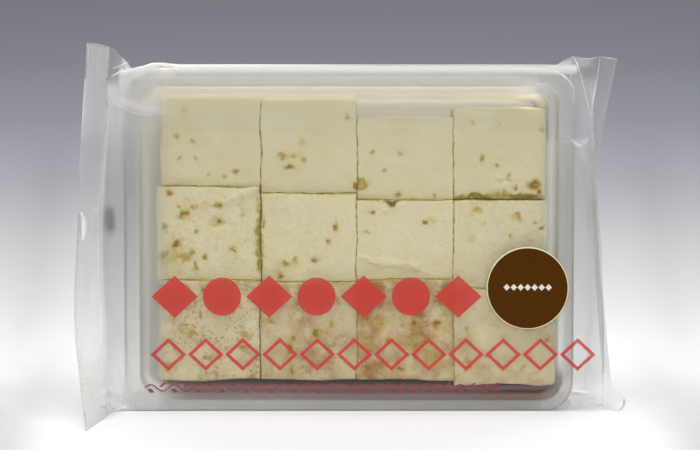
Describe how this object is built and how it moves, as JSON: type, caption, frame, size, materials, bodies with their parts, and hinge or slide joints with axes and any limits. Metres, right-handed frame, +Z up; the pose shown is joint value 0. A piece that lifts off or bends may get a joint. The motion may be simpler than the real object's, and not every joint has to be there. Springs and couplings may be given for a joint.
{
  "type": "bag of marshmallows",
  "caption": "Sealed clear film bag around a rounded tray of square cut marshmallows, standing on its long side, with flat end seals and a round front label.",
  "frame": {"origin": "middle of the footprint, on the surface the pack stands on", "axes": "+Z up, +X to the right along the pack's length, and the shown face looks towards -Y, leaning back by about six degrees"},
  "size_m": [0.1942, 0.0638, 0.1269],
  "materials": {
    "film": "clear, slightly hazy packing film",
    "tray_plastic": "frosted, see-through moulded tray",
    "marshmallow": "dry powdered cream sweet with cinnamon specks",
    "print_ink": "red ink printed on film",
    "label_paper": "brown coated paper"
  },
  "bodies": {
    "root": {"bag": "film", "label": "label_paper"}
  },
  "joints": []
}
